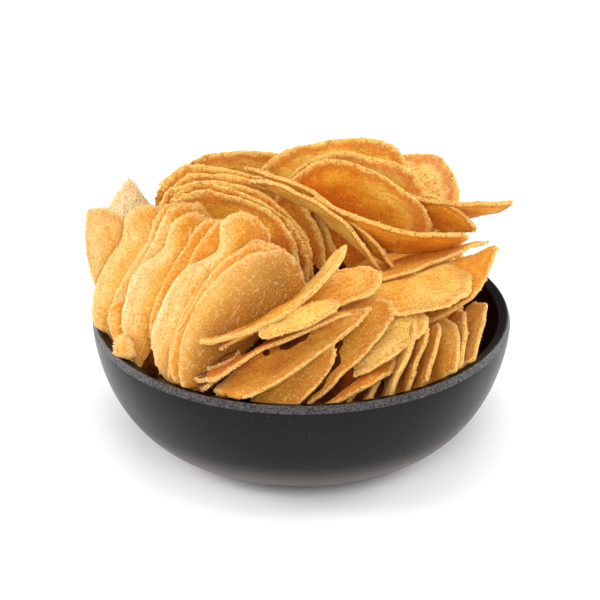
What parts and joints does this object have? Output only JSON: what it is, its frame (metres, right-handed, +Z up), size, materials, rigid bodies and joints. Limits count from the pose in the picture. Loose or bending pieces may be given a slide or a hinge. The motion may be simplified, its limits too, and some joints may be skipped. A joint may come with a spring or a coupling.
{
  "type": "bowl of crisps",
  "caption": "Round dark glazed bowl heaped well above its rim with large, thin, oval potato crisps that fan out to the left and stand on edge to the right.",
  "frame": {"origin": "middle of the flat foot that the bowl stands on", "axes": "+Z up through the middle of the bowl, -Y towards the front, where the heap slopes down to the rim, +X to the right of someone facing the front"},
  "size_m": [0.1617, 0.16, 0.1105],
  "materials": {
    "bowl": "satin",
    "crisps": "matte, dry and powdery"
  },
  "bodies": {
    "root": {"bowl": "bowl", "crisps": "crisps"}
  },
  "joints": []
}
